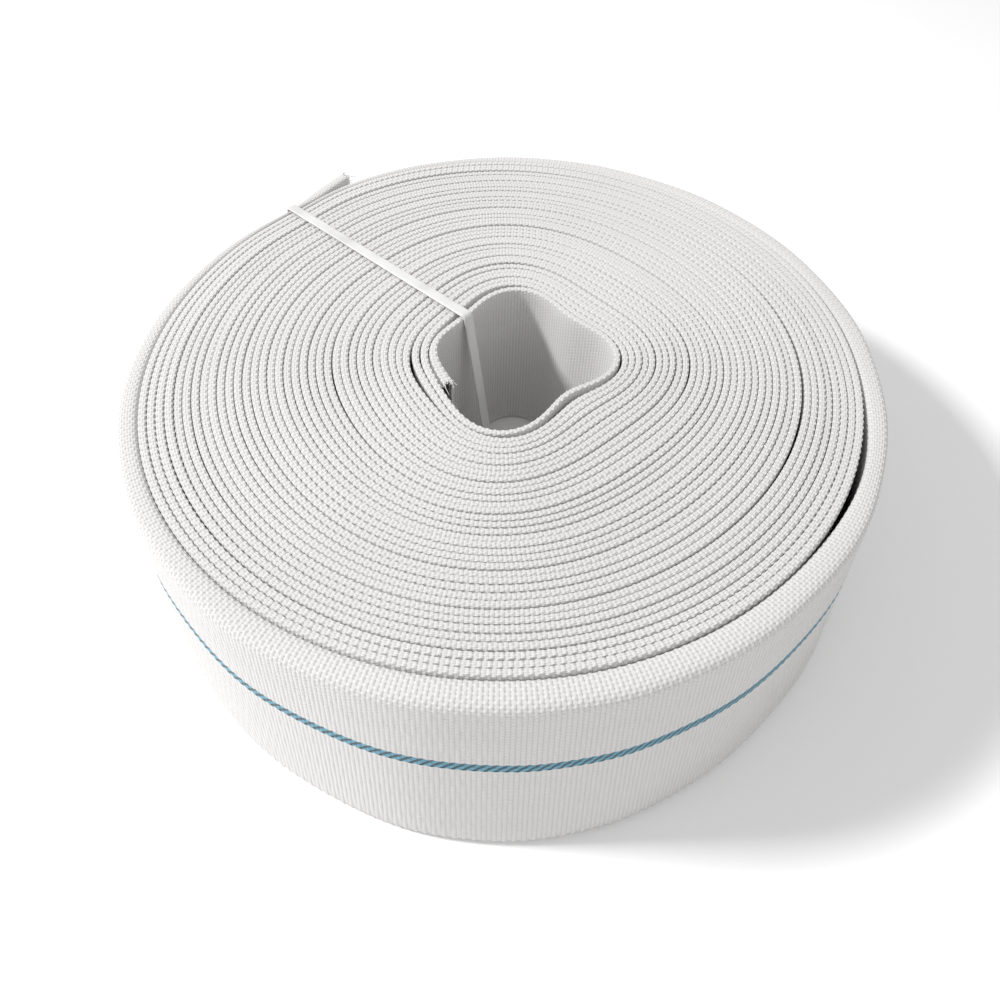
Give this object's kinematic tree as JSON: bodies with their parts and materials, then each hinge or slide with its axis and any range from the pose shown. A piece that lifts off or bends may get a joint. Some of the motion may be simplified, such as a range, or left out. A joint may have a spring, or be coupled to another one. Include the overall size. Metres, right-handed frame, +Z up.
{
  "type": "rolled fire hose",
  "caption": "Rolled lay-flat fire hose: a white woven jacket with a thin lining, wound flat in a spiral round an open core and held by a nylon cable tie.",
  "frame": {"origin": "middle of the roll's outer box in plan, on its underside, so that it stands on Z = 0", "axes": "+Z up along the roll's axis; the tie crosses the turns in the back-left quarter, at 139 degrees from +X, and the free tail leaves the roll there towards +Y and +X; -Y is the front"},
  "size_m": [0.2932, 0.2906, 0.0855],
  "materials": {
    "jacket_weave": "plain-woven white polyester yarn, matt, with one woven-in pale blue marker line along the outside",
    "lining_tail": "smooth grey-green PVC, satin",
    "lining_core": "smooth grey-green PVC, satin",
    "tie_nylon": "natural white nylon, slightly translucent, satin"
  },
  "bodies": {
    "root": {"woven_jacket": "jacket_weave", "lining_tail_end": "lining_tail", "lining_core_end": "lining_core", "cable_tie": "tie_nylon"}
  },
  "joints": []
}
